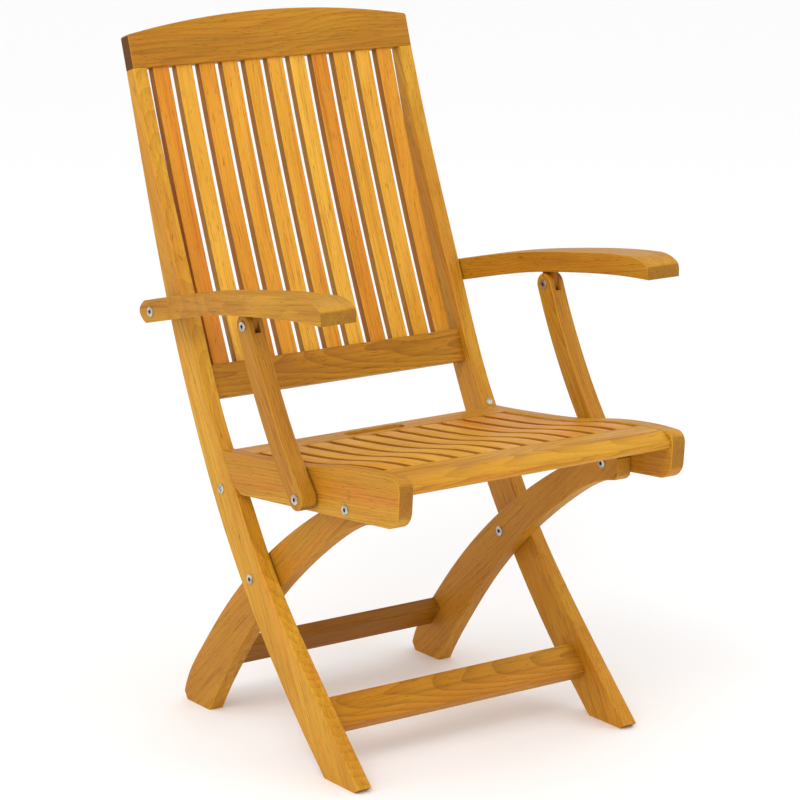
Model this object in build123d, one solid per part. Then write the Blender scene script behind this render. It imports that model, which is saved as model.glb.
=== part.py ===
"""Wooden folding garden armchair, built board by board.

Lengths are in millimetres. The chair faces -Y, +Z is up and X runs from arm to arm.
Side-view points are (y, z) pairs measured from the leg crossing's upright and the floor.
"""
import os
from math import atan2, cos, degrees, hypot, radians, sin

from build123d import *

# Side boards, as half widths from the middle of the chair
FRAME_HALF = 247.0          # outer face of the posts and of the seat's side rails
POST_THICK = 23.0
RAIL_THICK = POST_THICK + 1.0  # keeps the hook plates clear of the posts
LEG_THICK = 24.0
PIVOT_GAP = 1.5             # washer between a side rail and a leg
ARM_GAP = 2.5               # between a post and an arm
SUPPORT_GAP = 3.5           # between a side rail and an arm support
SUPPORT_THICK = 25.5
JOINT_CLEARANCE = 0.1       # all round a housed end
RUNNING_CLEARANCE = 0.05    # round a pivot bolt
EDGE_ROUND = 2.0            # softened edges of every board
LONG_EDGE = 80.0            # shorter edges stay as the saw left them
HOUSING = 8.0               # depth that an end goes into its neighbour
FLOOR = 0.0

# Pivots in the side view
CROSSING = (0.0, 242.5)     # post and leg
LEG_TOP = (-236.0, 397.5)   # leg and side rail
REST = (74.5, 359.0)        # pin that the seat's rear hooks over
ARM_REAR = (189.0, 602.0)   # arm and post
ARM_FRONT = (-29.0, 617.0)  # arm and arm support
SUPPORT_FOOT = (-157.5, 398.5)  # arm support and side rail

# Back
CREST_FOOT = (301.0, 935.0)     # lower front edge of the crest rail
CREST_ANGLE = 72.0
CREST_THICK = 22.0
CREST_END_HEIGHT = 50.0
CREST_MIDDLE_HEIGHT = 72.0
CREST_CORNER = 4.0
BACK_RAIL_TOP = (142.0, 523.5)  # upper front edge of the lower back rail
BACK_RAIL_ANGLE = 70.0
BACK_RAIL_THICK = 22.0
BACK_RAIL_HEIGHT = 49.0
SLAT_COUNT = 11
SLAT_WIDTH = 27.0
BACK_SLAT_THICK = 13.5
BACK_SLAT_INSET = 5.5       # slat front behind the rails' front
BACK_SLAT_BOW = 6.0
BACK_SLAT_ROUND = 1.5

# Posts: front and rear edges from the floor up
POST_REAR = [(-185.0, FLOOR), (-117.0, 66.0), (-49.0, 141.0), (20.0, 229.0), (76.0, 312.0),
             (134.0, 418.0), (206.0, 579.0), (281.0, 797.0)]
POST_FRONT = [(-268.0, 7.0), (-200.0, 74.0), (-111.0, 164.0), (-14.0, 280.0), (31.0, 350.0),
              (76.0, 416.0), (160.0, 588.0), (251.0, 801.0)]
POST_TOE = -258.0           # front end of the flat under a post

# Legs: upper and lower edges from the seat down
LEG_UPPER = [(-256.0, 423.5), (-190.0, 397.0), (-118.0, 357.0), (5.0, 269.0), (118.0, 159.0),
             (173.0, 92.0), (207.0, 45.0), (221.0, 13.0)]
LEG_LOWER = [(-264.0, 378.0), (-217.0, 364.0), (-157.0, 329.0), (-87.0, 277.0), (-21.0, 219.0),
             (49.0, 143.0), (101.0, 75.0), (127.0, 38.5), (151.0, FLOOR)]
LEG_FRONT_CUT = -271.0
LEG_HEEL = 212.0            # rear end of the flat under a leg

# Stretchers: upper front edge, lean of the face, height and thickness
FRONT_STRETCHER_TOP = (-143.0, 99.5)
FRONT_STRETCHER_ANGLE = 45.0
FRONT_STRETCHER_HEIGHT = 48.0
FRONT_STRETCHER_THICK = 20.0
REAR_STRETCHER_TOP = (148.0, 85.5)
REAR_STRETCHER_ANGLE = 125.0
REAR_STRETCHER_HEIGHT = 38.0
REAR_STRETCHER_THICK = 21.0

# Seat
SEAT_TOP = [(72.5, 415.0), (22.0, 419.0), (-48.0, 426.0), (-131.0, 436.5), (-214.0, 452.0),
            (-282.0, 460.5), (-333.0, 463.0)]
RAIL_NOSE_TOP = (-361.0, 462.0)     # corners of the side rail before they are rounded
RAIL_NOSE_LOW = (-356.5, 395.5)
RAIL_BELLY_REAR = (24.0, 360.5)
RAIL_HEEL = (41.0, 368.0)
NOSE_TOP_ROUND = 16.0
NOSE_LOW_ROUND = 27.0
HEEL_ROUND = 12.0
GAP_REAR = 22.0             # rear end of the gaps between the seat slats
GAP_FRONT = -290.0          # front end of the gaps
SEAT_SLAT_THICK = 12.0
SEAT_SLAT_SINK = 0.8        # slat tops below the rails' tops
SEAT_SLAT_ROUND = 1.5
REAR_BOARD_THICK = 24.0
TENON_SHOULDER = 5.0
TENON_REAR = 50.0           # rear side of the rear board's tongue
FRONT_RAIL_THICK = 25.0
FRONT_RAIL_NOSE = -356.0
HAND_SLOT_LENGTH = 104.0
HAND_SLOT_WIDTH = 28.0
HAND_SLOT_Y = 46.0

# Arms
ARM_REAR_WIDTH = 44.0
ARM_FRONT_WIDTH = 58.0
ARM_STEP = 2.0              # tongue's outer face behind the arm's
ARM_STEP_Y = 140.0
ARM_TOP = [(206.0, 615.5), (144.0, 631.0), (53.0, 651.5), (-94.0, 676.0), (-170.0, 686.0),
           (-226.0, 691.0)]
ARM_NOSE = [(-226.0, 691.0), (-252.0, 687.0), (-266.0, 673.0)]
ARM_UNDER = [(-266.0, 662.0), (-211.0, 659.0), (-77.0, 643.0), (0.0, 630.5), (80.0, 613.0),
             (202.0, 583.0)]
ARM_TONGUE_END = (219.0, 599.0)
TAB_THICK = 9.0
TAB_LENGTH = 26.0
TAB_RISE = 30.0             # tab above its pivot, into the arm
TAB_SOCKET = 6.0            # depth of the tab's seat in the arm
SUPPORT_WIDTH = 32.0
SUPPORT_BOW = 9.0
SUPPORT_SLOT_DEPTH = 16.0   # below the pivot
SUPPORT_SLOT_GAP = 0.5      # each side of the tab

# Metal
BOLT_RADIUS = 3.0
SLEEVE_RADIUS = 4.0
BLIND_WALL = 4.0            # wood left under a sleeve nut that doesn't show inside
HEAD_RADIUS = 7.5
HEAD_THICK = 1.8
HEAD_EDGE = 0.8
SOCKET_ACROSS = 5.0
SOCKET_DEPTH = 1.2
WASHER_RADIUS = 9.0
HOOK_THICK = 3.0
HOOK_DEPTH = 24.0           # from the pin up to the hook's top edge
HOOK_HEEL = 8.0             # plate behind the pin, above it
HOOK_TOE = 3.0              # plate behind the pin, below it
HOOK_SCREW_RADIUS = 3.5
HOOK_SCREW_SPACING = 44.0
STUD_RADIUS = 5.5
STUD_HEIGHT = 1.2
STUD_Z = 421.0

POST_INNER = FRAME_HALF - POST_THICK
RAIL_INNER = FRAME_HALF - RAIL_THICK
LEG_OUTER = RAIL_INNER - PIVOT_GAP
LEG_INNER = LEG_OUTER - LEG_THICK
ARM_INNER = FRAME_HALF + ARM_GAP
ARM_OUTER_REAR = ARM_INNER + ARM_REAR_WIDTH
ARM_OUTER_FRONT = ARM_INNER + ARM_FRONT_WIDTH
SUPPORT_INNER = FRAME_HALF + SUPPORT_GAP
SUPPORT_OUTER = SUPPORT_INNER + SUPPORT_THICK
SUPPORT_MIDDLE = (SUPPORT_INNER + SUPPORT_OUTER) / 2
CREST_REAR = (CREST_FOOT[0] + CREST_THICK * sin(radians(CREST_ANGLE)),
              CREST_FOOT[1] - CREST_THICK * cos(radians(CREST_ANGLE)))


def side_face(*edges):
    """Close side-view edges into one face that stands in the Y-Z plane."""
    return Plane.YZ * make_face(list(edges))


def side_board(face, inner, outer):
    """Give a side-view face the thickness between two half widths, on the +X side."""
    return Pos(inner, 0, 0) * extrude(face, outer - inner)


def soften(board, radius):
    """Round the long edges on both broad sides of a side board, one side after the other."""
    for side in (-1, 0):
        edges = board.edges().group_by(Axis.X)[side]
        board = fillet(edges.filter_by(lambda edge: edge.length > LONG_EDGE), radius)
    return board


def mirrored(shape):
    """The same board for the -X side of the chair."""
    return mirror(shape, about=Plane.YZ)


def along_x(point, radius, inner, outer):
    """A round bar from one half width to another at a side-view point."""
    bar = extrude(Plane.YZ * Circle(radius), outer - inner)
    return Pos(inner, point[0], point[1]) * bar


def drilled(board, point, radius, inner, outer):
    """Bore a pivot hole through a side board."""
    return board - along_x(point, radius + RUNNING_CLEARANCE, inner - 1, outer + 1)


def leaning_plane(top, angle):
    """A plane on a leaning board's front face, its local Y running up the face."""
    lean = radians(angle)
    return Plane(origin=(0, top[0], top[1]), x_dir=(1, 0, 0), z_dir=(0, -sin(lean), cos(lean)))


def cross_board(top, angle, height, thick, half_length, growth=0.0):
    """A board across the chair, hanging down from its upper front edge."""
    plane = leaning_plane(top, angle)
    block = Box(2 * half_length, height + 2 * growth, thick + 2 * growth)
    return plane * (Pos(0, -height / 2, -thick / 2) * block)


def slat_positions():
    """Middles of the slats, evenly spaced between the posts."""
    gap = (2 * POST_INNER - SLAT_COUNT * SLAT_WIDTH) / (SLAT_COUNT + 1)
    pitch = gap + SLAT_WIDTH
    middle = (SLAT_COUNT - 1) / 2
    return [(number - middle) * pitch for number in range(SLAT_COUNT)]


def bolt_head(point, face, outward):
    """A flat round head with a hex socket, its seat on a face and pointing outward."""
    head = extrude(Circle(HEAD_RADIUS), HEAD_THICK)
    head = fillet(head.edges().group_by(Axis.Z)[-1], HEAD_EDGE)
    socket = extrude(RegularPolygon(SOCKET_ACROSS / 2, 6, major_radius=False), SOCKET_DEPTH)
    head -= Pos(0, 0, HEAD_THICK - SOCKET_DEPTH) * socket
    turned = Plane(origin=(face, point[0], point[1]), x_dir=(0, 1, 0), z_dir=(outward, 0, 0))
    return turned * head


def bolt(point, tip, seat):
    """A pivot bolt: outer head on its seat, plain shank inward to the tip."""
    return bolt_head(point, seat, 1) + along_x(point, BOLT_RADIUS, tip, seat + HEAD_THICK / 4)


def sleeve_nut(point, seat, end):
    """The bolt's sleeve nut: inner head on its seat, thin sleeve outward round the shank."""
    sleeve = along_x(point, SLEEVE_RADIUS, seat - HEAD_THICK / 4, end)
    sleeve += bolt_head(point, seat, -1)
    return sleeve - along_x(point, BOLT_RADIUS + RUNNING_CLEARANCE, seat, end + 1)


def blind_nut(point, inner, end):
    """A headless sleeve nut, closed at its inner end."""
    sleeve = along_x(point, SLEEVE_RADIUS, inner, end)
    return sleeve - along_x(point, BOLT_RADIUS + RUNNING_CLEARANCE, inner + 2, end + 1)


def ring(point, inner, outer):
    """A washer that fills the gap between two boards."""
    washer = along_x(point, WASHER_RADIUS, inner, outer)
    return washer - along_x(point, SLEEVE_RADIUS + RUNNING_CLEARANCE, inner - 1, outer + 1)


def make_post():
    """Right post: back upright and front foot in one curved board."""
    rear = Spline(*POST_REAR, CREST_REAR)
    top = Line(CREST_REAR, CREST_FOOT)
    front = Spline(CREST_FOOT, *reversed(POST_FRONT))
    toe = Line(POST_FRONT[0], (POST_TOE, FLOOR))
    foot = Line((POST_TOE, FLOOR), POST_REAR[0])
    post = soften(side_board(side_face(rear, top, front, toe, foot), POST_INNER, FRAME_HALF),
                  EDGE_ROUND)
    post = drilled(post, CROSSING, SLEEVE_RADIUS, POST_INNER, FRAME_HALF)
    post = drilled(post, REST, SLEEVE_RADIUS, POST_INNER, FRAME_HALF)
    post -= along_x(ARM_REAR, SLEEVE_RADIUS + RUNNING_CLEARANCE,
                    POST_INNER + BLIND_WALL - RUNNING_CLEARANCE, FRAME_HALF + 1)
    reach = POST_INNER + HOUSING
    for cutter in (back_rail(reach, JOINT_CLEARANCE), front_stretcher(reach, JOINT_CLEARANCE)):
        post -= cutter
    return post


def crest_rail():
    """Arched board that caps both posts."""
    arch = ThreePointArc((FRAME_HALF, CREST_END_HEIGHT), (0, CREST_MIDDLE_HEIGHT),
                         (-FRAME_HALF, CREST_END_HEIGHT))
    sides = Polyline((-FRAME_HALF, CREST_END_HEIGHT), (-FRAME_HALF, 0), (FRAME_HALF, 0),
                     (FRAME_HALF, CREST_END_HEIGHT))
    outline = make_face([arch, sides])
    outline = fillet(outline.vertices().group_by(Axis.Y)[-1], CREST_CORNER)
    board = extrude(outline, -CREST_THICK)
    board = fillet(board.edges().group_by(Axis.Z)[-1] + board.edges().group_by(Axis.Z)[0],
                   EDGE_ROUND)
    return leaning_plane(CREST_FOOT, CREST_ANGLE) * board


def back_rail(half_length, growth=0.0):
    """Lower rail of the back, between the posts."""
    return cross_board(BACK_RAIL_TOP, BACK_RAIL_ANGLE, BACK_RAIL_HEIGHT, BACK_RAIL_THICK,
                       half_length, growth)


def front_stretcher(half_length, growth=0.0):
    """Low stretcher between the posts."""
    return cross_board(FRONT_STRETCHER_TOP, FRONT_STRETCHER_ANGLE, FRONT_STRETCHER_HEIGHT,
                       FRONT_STRETCHER_THICK, half_length, growth)


def rear_stretcher(half_length, growth=0.0):
    """Low stretcher between the legs."""
    top = REAR_STRETCHER_TOP
    lean = radians(REAR_STRETCHER_ANGLE)
    plane = Plane(origin=(0, top[0], top[1]), x_dir=(1, 0, 0), z_dir=(0, -sin(lean), cos(lean)))
    block = Box(2 * half_length, REAR_STRETCHER_HEIGHT + 2 * growth,
                REAR_STRETCHER_THICK + 2 * growth)
    return plane * (Pos(0, -REAR_STRETCHER_HEIGHT / 2, -REAR_STRETCHER_THICK / 2) * block)


def back_slat(x, growth=0.0):
    """One bowed upright slat, housed in the crest rail and the lower rail."""
    crest_lean = radians(CREST_ANGLE)
    rail_lean = radians(BACK_RAIL_ANGLE)
    inset = BACK_SLAT_INSET - growth
    thick = BACK_SLAT_THICK + 2 * growth
    reach = HOUSING + growth
    top = (CREST_FOOT[0] + inset * sin(crest_lean) + reach * cos(crest_lean),
           CREST_FOOT[1] - inset * cos(crest_lean) + reach * sin(crest_lean))
    low = (BACK_RAIL_TOP[0] + inset * sin(rail_lean) - reach * cos(rail_lean),
           BACK_RAIL_TOP[1] - inset * cos(rail_lean) - reach * sin(rail_lean))
    length = hypot(top[0] - low[0], top[1] - low[1])
    along = ((top[0] - low[0]) / length, (top[1] - low[1]) / length)
    behind = (along[1], -along[0])
    middle = ((top[0] + low[0]) / 2 + BACK_SLAT_BOW * behind[0],
              (top[1] + low[1]) / 2 + BACK_SLAT_BOW * behind[1])
    corners = [(point[0] + thick * behind[0], point[1] + thick * behind[1])
               for point in (top, middle, low)]
    face = side_face(ThreePointArc(low, middle, top), Line(top, corners[0]),
                     ThreePointArc(*corners), Line(corners[2], low))
    half = SLAT_WIDTH / 2 + growth
    board = side_board(face, x - half, x + half)
    return board if growth else soften(board, BACK_SLAT_ROUND)


def make_leg():
    """Right curved leg, from the seat's front down to the rear foot."""
    upper = Spline(*LEG_UPPER)
    heel = Line(LEG_UPPER[-1], (LEG_HEEL, FLOOR))
    foot = Line((LEG_HEEL, FLOOR), LEG_LOWER[-1])
    lower = Spline(*reversed(LEG_LOWER))
    rise = LEG_TOP[1]
    low_corner = (LEG_FRONT_CUT, rise - 13.0)
    high_corner = (LEG_FRONT_CUT, rise + 13.0)
    end = Polyline(LEG_LOWER[0], low_corner, high_corner, LEG_UPPER[0])
    leg = soften(side_board(side_face(upper, heel, foot, lower, end), LEG_INNER, LEG_OUTER),
                 EDGE_ROUND)
    leg = drilled(leg, CROSSING, SLEEVE_RADIUS, LEG_INNER, LEG_OUTER)
    leg = drilled(leg, LEG_TOP, SLEEVE_RADIUS, LEG_INNER, LEG_OUTER)
    return leg - rear_stretcher(LEG_INNER + HOUSING, JOINT_CLEARANCE)


def make_side_rail():
    """Right side rail of the seat, with its swelling nose."""
    top = Spline(*SEAT_TOP, RAIL_NOSE_TOP)
    rest = Polyline(RAIL_NOSE_TOP, RAIL_NOSE_LOW, RAIL_BELLY_REAR, RAIL_HEEL, SEAT_TOP[0])
    outline = make_face([top, rest])
    for corner, radius in ((RAIL_NOSE_TOP, NOSE_TOP_ROUND), (RAIL_NOSE_LOW, NOSE_LOW_ROUND),
                           (RAIL_BELLY_REAR, HEEL_ROUND)):
        outline = fillet(outline.vertices().sort_by_distance((*corner, 0))[0], radius)
    rail = soften(side_board(Plane.YZ * outline, RAIL_INNER, FRAME_HALF), EDGE_ROUND)
    rail = drilled(rail, LEG_TOP, SLEEVE_RADIUS, RAIL_INNER, FRAME_HALF)
    rail = drilled(rail, SUPPORT_FOOT, SLEEVE_RADIUS, RAIL_INNER, FRAME_HALF)
    for cutter in (rear_tenon(JOINT_CLEARANCE),
                   front_rail(RAIL_INNER + HOUSING, JOINT_CLEARANCE)):
        rail -= cutter
    return rail


def seat_curve(rise):
    """The seat's top line between the two cross boards, raised or lowered."""
    return Spline(*[(y, z + rise) for y, z in SEAT_TOP])


def seat_layer(front, rear, rise, thick, left, right):
    """A seat layer from one X to another."""
    start, end = SEAT_TOP[0], SEAT_TOP[-1]
    layer = side_face(seat_curve(rise), Line((end[0], end[1] + rise), (end[0], end[1] + rise - thick)),
                      seat_curve(rise - thick),
                      Line((start[0], start[1] + rise - thick), (start[0], start[1] + rise)))
    slab = Pos(left, 0, 0) * extrude(layer, right - left)
    block = Box(right - left, rear - front, 1000)
    return slab & (Pos((left + right) / 2, (front + rear) / 2, start[1]) * block)


def seat_slat(x, growth=0.0):
    """One S-curved seat slat, housed in the front rail and the rear board."""
    half = SLAT_WIDTH / 2 + growth
    reach = HOUSING + growth
    slat = seat_layer(GAP_FRONT - reach, GAP_REAR + reach, growth - SEAT_SLAT_SINK,
                      SEAT_SLAT_THICK + 2 * growth, x - half, x + half)
    return slat if growth else soften(slat, SEAT_SLAT_ROUND)


def rear_board():
    """Rear board of the seat, between the side rails."""
    return seat_layer(GAP_REAR, SEAT_TOP[0][0] - 1.5, -SEAT_SLAT_SINK / 2, REAR_BOARD_THICK,
                      -RAIL_INNER, RAIL_INNER)


def rear_tenon(growth=0.0):
    """The rear board's tongue, which runs on into both side rails."""
    half = RAIL_INNER + HOUSING + growth
    return seat_layer(GAP_REAR + TENON_SHOULDER - growth, TENON_REAR + growth,
                      growth - TENON_SHOULDER, REAR_BOARD_THICK - 2 * TENON_SHOULDER + 2 * growth,
                      -half, half)


def hand_slot():
    """Round-ended cutter for the carrying slot in the rear board."""
    return Pos(0, HAND_SLOT_Y, SEAT_TOP[0][1] - 60) * extrude(
        SlotOverall(HAND_SLOT_LENGTH, HAND_SLOT_WIDTH), 120)


def front_rail(half_length, growth=0.0):
    """Front rail with a rounded nose, its top in line with the slats."""
    back = GAP_FRONT + growth
    nose = FRONT_RAIL_NOSE - growth
    sink = SEAT_SLAT_SINK / 2 - growth
    crown = (SEAT_TOP[-1][0], SEAT_TOP[-1][1] - sink)
    rear_top = (back, SEAT_TOP[-2][1] + 0.6 - sink)
    under = SEAT_TOP[-1][1] - FRONT_RAIL_THICK - growth
    face = side_face(Line(rear_top, crown),
                     Spline(crown, (nose + 6.0, SEAT_TOP[-1][1] - 9.0), (nose, under + 9.0),
                            tangents=[(-1, 0), (0, -1)]),
                     Spline((nose, under + 9.0), (nose + 4.0, under + 2.0), (nose + 14.0, under),
                            tangents=[(0, -1), (1, 0)]),
                     Line((nose + 14.0, under), (back, under)),
                     Line((back, under), rear_top))
    return side_board(face, -half_length, half_length)


def arm_board():
    """Side view of an arm, swept to its widest from its inner face at X = 0."""
    top = Spline(*ARM_TOP)
    nose = Spline(*ARM_NOSE, tangents=[(-1, 0), (-0.1, -1)])
    front = Line(ARM_NOSE[-1], ARM_UNDER[0])
    under = Spline(*ARM_UNDER)
    tongue = Spline(ARM_UNDER[-1], ARM_TONGUE_END, ARM_TOP[0])
    return side_board(side_face(top, nose, front, under, tongue), 0, ARM_FRONT_WIDTH)


def make_arm():
    """Right arm: arched board that widens to the front, with a rear tongue on the post."""
    arm = arm_board()
    step_x = ARM_REAR_WIDTH
    beyond = ARM_FRONT_WIDTH + 40
    rear_end = ARM_TONGUE_END[0] + 10
    front_end = ARM_NOSE[-1][0] - 10
    waste = make_face(Polyline((step_x, ARM_STEP_Y), (step_x + 3.0, 60.0),
                               (ARM_FRONT_WIDTH + 1, -120.0), (ARM_FRONT_WIDTH + 1, front_end),
                               (beyond, front_end), (beyond, rear_end),
                               (step_x - ARM_STEP, rear_end), (step_x - ARM_STEP, ARM_STEP_Y),
                               (step_x, ARM_STEP_Y)))
    arm -= Pos(0, 0, ARM_UNDER[-1][1] - 100) * extrude(waste, 400)
    arm = fillet(arm.edges().filter_by(lambda e: e.length > 20).group_by(Axis.X)[0], EDGE_ROUND)
    arm = Pos(ARM_INNER, 0, 0) * arm
    arm = drilled(arm, ARM_REAR, SLEEVE_RADIUS, ARM_INNER, ARM_OUTER_FRONT)
    return arm - make_tab(JOINT_CLEARANCE)


def arm_underside(y):
    """Height of the arm's underside at a place, between its listed points."""
    points = sorted(ARM_UNDER)
    for (y0, z0), (y1, z1) in zip(points, points[1:]):
        if y0 <= y <= y1:
            return z0 + (z1 - z0) * (y - y0) / (y1 - y0)
    return points[0][1]


def make_tab(growth=0.0):
    """Hardwood tab let into the arm's underside, for the arm support's fork."""
    half = TAB_LENGTH / 2 + growth
    top = arm_underside(ARM_FRONT[0]) + TAB_SOCKET + growth
    y, z = ARM_FRONT
    radius = TAB_LENGTH / 2 + growth
    outline = make_face([Line((y - half, z), (y - half, top)), Line((y - half, top), (y + half, top)),
                         Line((y + half, top), (y + half, z)),
                         ThreePointArc((y + half, z), (y, z - radius), (y - half, z))])
    thick = TAB_THICK / 2 + growth
    tab = side_board(Plane.YZ * outline, SUPPORT_MIDDLE - thick, SUPPORT_MIDDLE + thick)
    return drilled(tab, ARM_FRONT, SLEEVE_RADIUS, SUPPORT_INNER, SUPPORT_OUTER)


def support_frame():
    """Unit vector up the support, the one behind it, and its length between pivots."""
    dy = ARM_FRONT[0] - SUPPORT_FOOT[0]
    dz = ARM_FRONT[1] - SUPPORT_FOOT[1]
    length = hypot(dy, dz)
    return (dy / length, dz / length), (dz / length, -dy / length), length


def make_support():
    """Right arm support: bowed upright with round ends and a fork at the top."""
    up, behind, length = support_frame()
    half = SUPPORT_WIDTH / 2

    def place(along, across):
        return (SUPPORT_FOOT[0] + along * up[0] + across * behind[0],
                SUPPORT_FOOT[1] + along * up[1] + across * behind[1])

    middle_line = ThreePointArc(place(0, 0), place(length / 2, SUPPORT_BOW), place(length, 0))
    outline = Plane.YZ * SlotArc(middle_line, SUPPORT_WIDTH)
    support = side_board(outline, SUPPORT_INNER, SUPPORT_OUTER)
    groups = support.edges().group_by(Axis.X)
    support = fillet(groups[0] + groups[-1], EDGE_ROUND)
    slot_half = TAB_THICK / 2 + SUPPORT_SLOT_GAP
    reach = SUPPORT_SLOT_DEPTH + half
    slot = Box(2 * slot_half, SUPPORT_WIDTH * 2, reach)
    turn = Rot(-degrees(atan2(up[0], up[1])), 0, 0)
    middle = place(length - SUPPORT_SLOT_DEPTH / 2 + half / 2, 0)
    support -= Pos(SUPPORT_MIDDLE, middle[0], middle[1]) * turn * slot
    support = drilled(support, ARM_FRONT, SLEEVE_RADIUS, SUPPORT_INNER, SUPPORT_OUTER)
    return drilled(support, SUPPORT_FOOT, BOLT_RADIUS, SUPPORT_INNER, SUPPORT_OUTER)


def make_hook():
    """Right hook plate: screwed inside the side rail, its notch sits on the rest pin."""
    inner = RAIL_INNER - HOOK_THICK
    front = REST[0] - 100.0
    top = REST[1] + HOOK_DEPTH
    heel = REST[0] + HOOK_HEEL
    plate = side_face(Polyline((front, top + 5.0), (front, top - 12.0),
                               (REST[0] - 12.0, REST[1] - 7.0), (REST[0] + HOOK_TOE, REST[1] - 5.5),
                               (heel, REST[1] + 1.0), (heel, top - 9.0), (REST[0] - 10.0, top + 5.0),
                               (front, top + 5.0)))
    hook = side_board(plate, inner, RAIL_INNER)
    notch_radius = SLEEVE_RADIUS + 0.3
    notch = Pos(0, -20.0) * Rectangle(2 * notch_radius, 40.0)
    notch = Rot(0, 0, -20.0) * (notch + Circle(notch_radius))
    hook -= Pos(inner - 1, REST[0], REST[1]) * extrude(Plane.YZ * notch, HOOK_THICK + 2)
    for offset in (0.0, HOOK_SCREW_SPACING / 2):
        hook -= along_x((front + 10.0 + offset, top), HOOK_SCREW_RADIUS / 2 + RUNNING_CLEARANCE,
                        inner - 1, RAIL_INNER + 1)
    return hook


def hook_screws():
    """Pan-head screws that hold a hook plate to its side rail."""
    inner = RAIL_INNER - HOOK_THICK
    front = REST[0] - 100.0
    top = REST[1] + HOOK_DEPTH
    screws = []
    for offset in (0.0, HOOK_SCREW_SPACING / 2):
        point = (front + 10.0 + offset, top)
        screw = along_x(point, HOOK_SCREW_RADIUS, inner - 1.8, inner)
        screws.append(screw + along_x(point, HOOK_SCREW_RADIUS / 2, inner - 0.5, RAIL_INNER + 14))
    return screws


def post_stud():
    """Small domed stud on the front edge of the right post."""
    points = sorted(POST_FRONT, key=lambda point: point[1])
    for (y0, z0), (y1, z1) in zip(points, points[1:]):
        if z0 <= STUD_Z <= z1:
            y = y0 + (y1 - y0) * (STUD_Z - z0) / (z1 - z0)
            lean = degrees(atan2(z1 - z0, y1 - y0))
    dome = Sphere(STUD_RADIUS) & (Pos(0, 0, STUD_RADIUS) * Box(20, 20, 2 * STUD_RADIUS))
    dome = scale(dome, (1, 1, STUD_HEIGHT / STUD_RADIUS))
    stem = Pos(0, 0, -6) * extrude(Circle(STUD_RADIUS / 3), 6.2)
    plane = leaning_plane((y, STUD_Z), lean)
    return Pos(FRAME_HALF - POST_THICK / 2, 0, 0) * (plane * (dome + stem))


def build():
    """Every piece of the chair, by node name."""
    parts = {}
    slats = [back_slat(x) for x in slat_positions()]
    crest = crest_rail()
    lower = back_rail(POST_INNER + HOUSING)
    for x in slat_positions():
        pocket = back_slat(x, JOINT_CLEARANCE)
        crest -= pocket
        lower -= pocket
    parts["crest_rail"] = crest
    parts["lower_back_rail"] = lower
    for number, slat in enumerate(slats, start=1):
        parts[f"back_slat_{number:02d}"] = slat
    stud = post_stud()
    post = make_post()
    parts["post_right"] = post - stud
    parts["post_left"] = mirrored(post)
    parts["post_stud"] = stud
    parts["front_stretcher"] = front_stretcher(POST_INNER + HOUSING)

    leg = make_leg()
    parts["curved_leg_right"] = leg
    parts["curved_leg_left"] = mirrored(leg)
    parts["rear_stretcher"] = rear_stretcher(LEG_INNER + HOUSING)

    rear = rear_board() + rear_tenon() - hand_slot()
    front = front_rail(RAIL_INNER + HOUSING)
    seat_slats = [seat_slat(x) for x in slat_positions()]
    for x in slat_positions():
        pocket = seat_slat(x, JOINT_CLEARANCE)
        rear -= pocket
        front -= pocket
    for number, slat in enumerate(seat_slats, start=1):
        parts[f"seat_slat_{number:02d}"] = slat
    parts["seat_rear_board"] = rear
    parts["seat_front_rail"] = front
    screws = hook_screws()
    rail = make_side_rail()
    for screw in screws:
        rail -= screw
    parts["side_rail_right"] = rail
    parts["side_rail_left"] = mirrored(rail)
    hook = make_hook()
    parts["seat_hook_right"] = hook
    parts["seat_hook_left"] = mirrored(hook)
    parts["seat_hook_screws"] = Compound(screws + [mirrored(screw) for screw in screws])

    arm = make_arm()
    tab = make_tab()
    support = make_support()
    for name, piece in (("arm", arm), ("arm_tab", tab), ("arm_support", support)):
        parts[f"{name}_right"] = piece
        parts[f"{name}_left"] = mirrored(piece)

    def pair(name, piece):
        parts[name] = Compound([piece, mirrored(piece)])

    rest_end = RAIL_INNER - HOOK_THICK - 1.0
    rest = bolt_head(REST, FRAME_HALF, 1) + along_x(REST, SLEEVE_RADIUS, rest_end,
                                                    FRAME_HALF + HEAD_THICK / 4)
    pair("seat_rest_pins", rest)
    pair("crossing_bolts", bolt(CROSSING, LEG_INNER + 3, FRAME_HALF))
    pair("crossing_nuts", sleeve_nut(CROSSING, LEG_INNER, FRAME_HALF - 1))
    pair("leg_top_bolts", bolt(LEG_TOP, LEG_INNER + 3, FRAME_HALF))
    pair("leg_top_nuts", sleeve_nut(LEG_TOP, LEG_INNER, FRAME_HALF - 1))
    washers = [ring(CROSSING, LEG_OUTER, POST_INNER), ring(LEG_TOP, LEG_OUTER, RAIL_INNER)]
    parts["pivot_washers"] = Compound(washers + [mirrored(washer) for washer in washers])
    tongue_face = ARM_OUTER_REAR - ARM_STEP
    for name, piece in (
            ("arm_rear_bolt", bolt(ARM_REAR, POST_INNER + BLIND_WALL + 3, tongue_face)),
            ("arm_rear_nut", blind_nut(ARM_REAR, POST_INNER + BLIND_WALL, tongue_face - 1)),
            ("arm_front_bolt", bolt(ARM_FRONT, SUPPORT_INNER + 3, SUPPORT_OUTER)),
            ("arm_front_nut", sleeve_nut(ARM_FRONT, SUPPORT_INNER, SUPPORT_OUTER - 1)),
            ("support_foot_bolt", bolt(SUPPORT_FOOT, SUPPORT_INNER + 0.5, SUPPORT_OUTER))):
        parts[f"{name}_right"] = piece
        parts[f"{name}_left"] = mirrored(piece)
    return parts


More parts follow.
